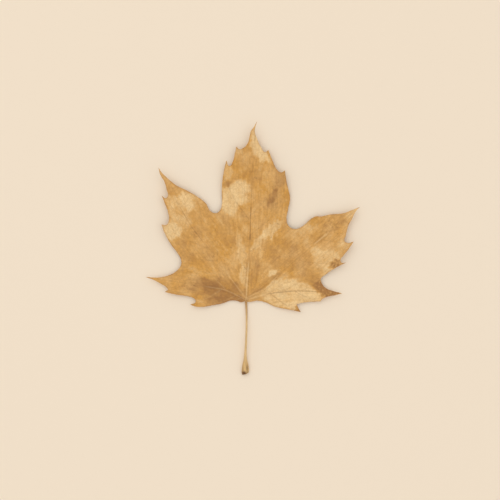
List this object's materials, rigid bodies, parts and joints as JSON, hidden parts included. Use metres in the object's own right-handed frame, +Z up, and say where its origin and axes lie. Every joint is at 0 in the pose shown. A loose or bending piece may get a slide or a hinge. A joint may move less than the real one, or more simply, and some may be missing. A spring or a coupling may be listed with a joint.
{
  "type": "maple leaf",
  "caption": "Dried golden-brown maple leaf with pointed, toothed lobes curling up at the tips, on a thin stalk with a swollen foot.",
  "frame": {"origin": "on the surface that the leaf lies on, under the middle of its bounding box", "axes": "+Z up out of the upper side of the blade, +Y to the tip of the middle lobe, +X to the right-hand lobes seen from above, with the stalk along -Y"},
  "size_m": [0.1496, 0.1774, 0.0099],
  "materials": {
    "dry_leaf": "matte"
  },
  "bodies": {
    "root": {"maple_leaf": "dry_leaf"}
  },
  "joints": []
}
